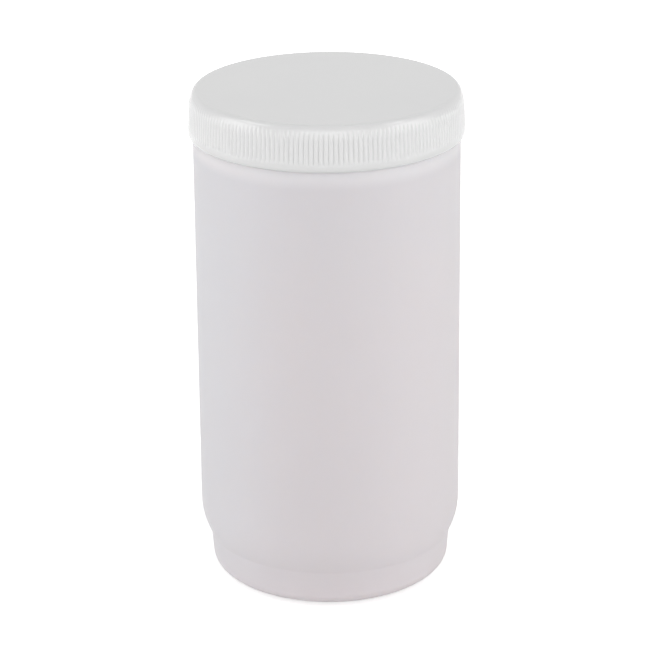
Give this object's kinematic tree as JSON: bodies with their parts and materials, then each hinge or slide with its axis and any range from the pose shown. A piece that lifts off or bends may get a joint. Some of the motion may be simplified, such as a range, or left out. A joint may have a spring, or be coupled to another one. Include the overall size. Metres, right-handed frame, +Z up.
{
  "type": "wide-mouth screw-cap bottle",
  "caption": "Wide-mouth, straight-sided translucent plastic bottle with a recessed foot, a ribbed white screw cap and a foam liner.",
  "frame": {"origin": "centre of the standing ring, on the surface that the bottle stands on", "axes": "+Z up along the bottle's axis, from the base to the cap; the threads start near +X; -Y is the front"},
  "size_m": [0.0926, 0.0926, 0.1722],
  "materials": {
    "bottle_plastic": "translucent natural polyethylene, satin",
    "cap_plastic": "white polypropylene, semi-gloss satin",
    "liner_foam": "white foamed polyethylene, matt"
  },
  "bodies": {
    "bottle": {"bottle_body": "bottle_plastic"},
    "liner": {"cap_liner": "liner_foam"},
    "cap": {"screw_cap": "cap_plastic"}
  },
  "joints": [
    {"name": "cap_lift", "type": "slide", "parent": "bottle", "child": "liner", "axis": [0, 0, 1], "range_m": [0, 0.01525]},
    {"name": "cap_turn", "type": "hinge", "parent": "liner", "child": "cap", "pos_m": [0, 0, 0.165], "axis": [0, 0, 1], "range_deg": [0, 1080]}
  ],
  "couplings": [
    {"joint": "cap_lift", "follows": "cap_turn", "m_per_rad": 0.00080851}
  ]
}
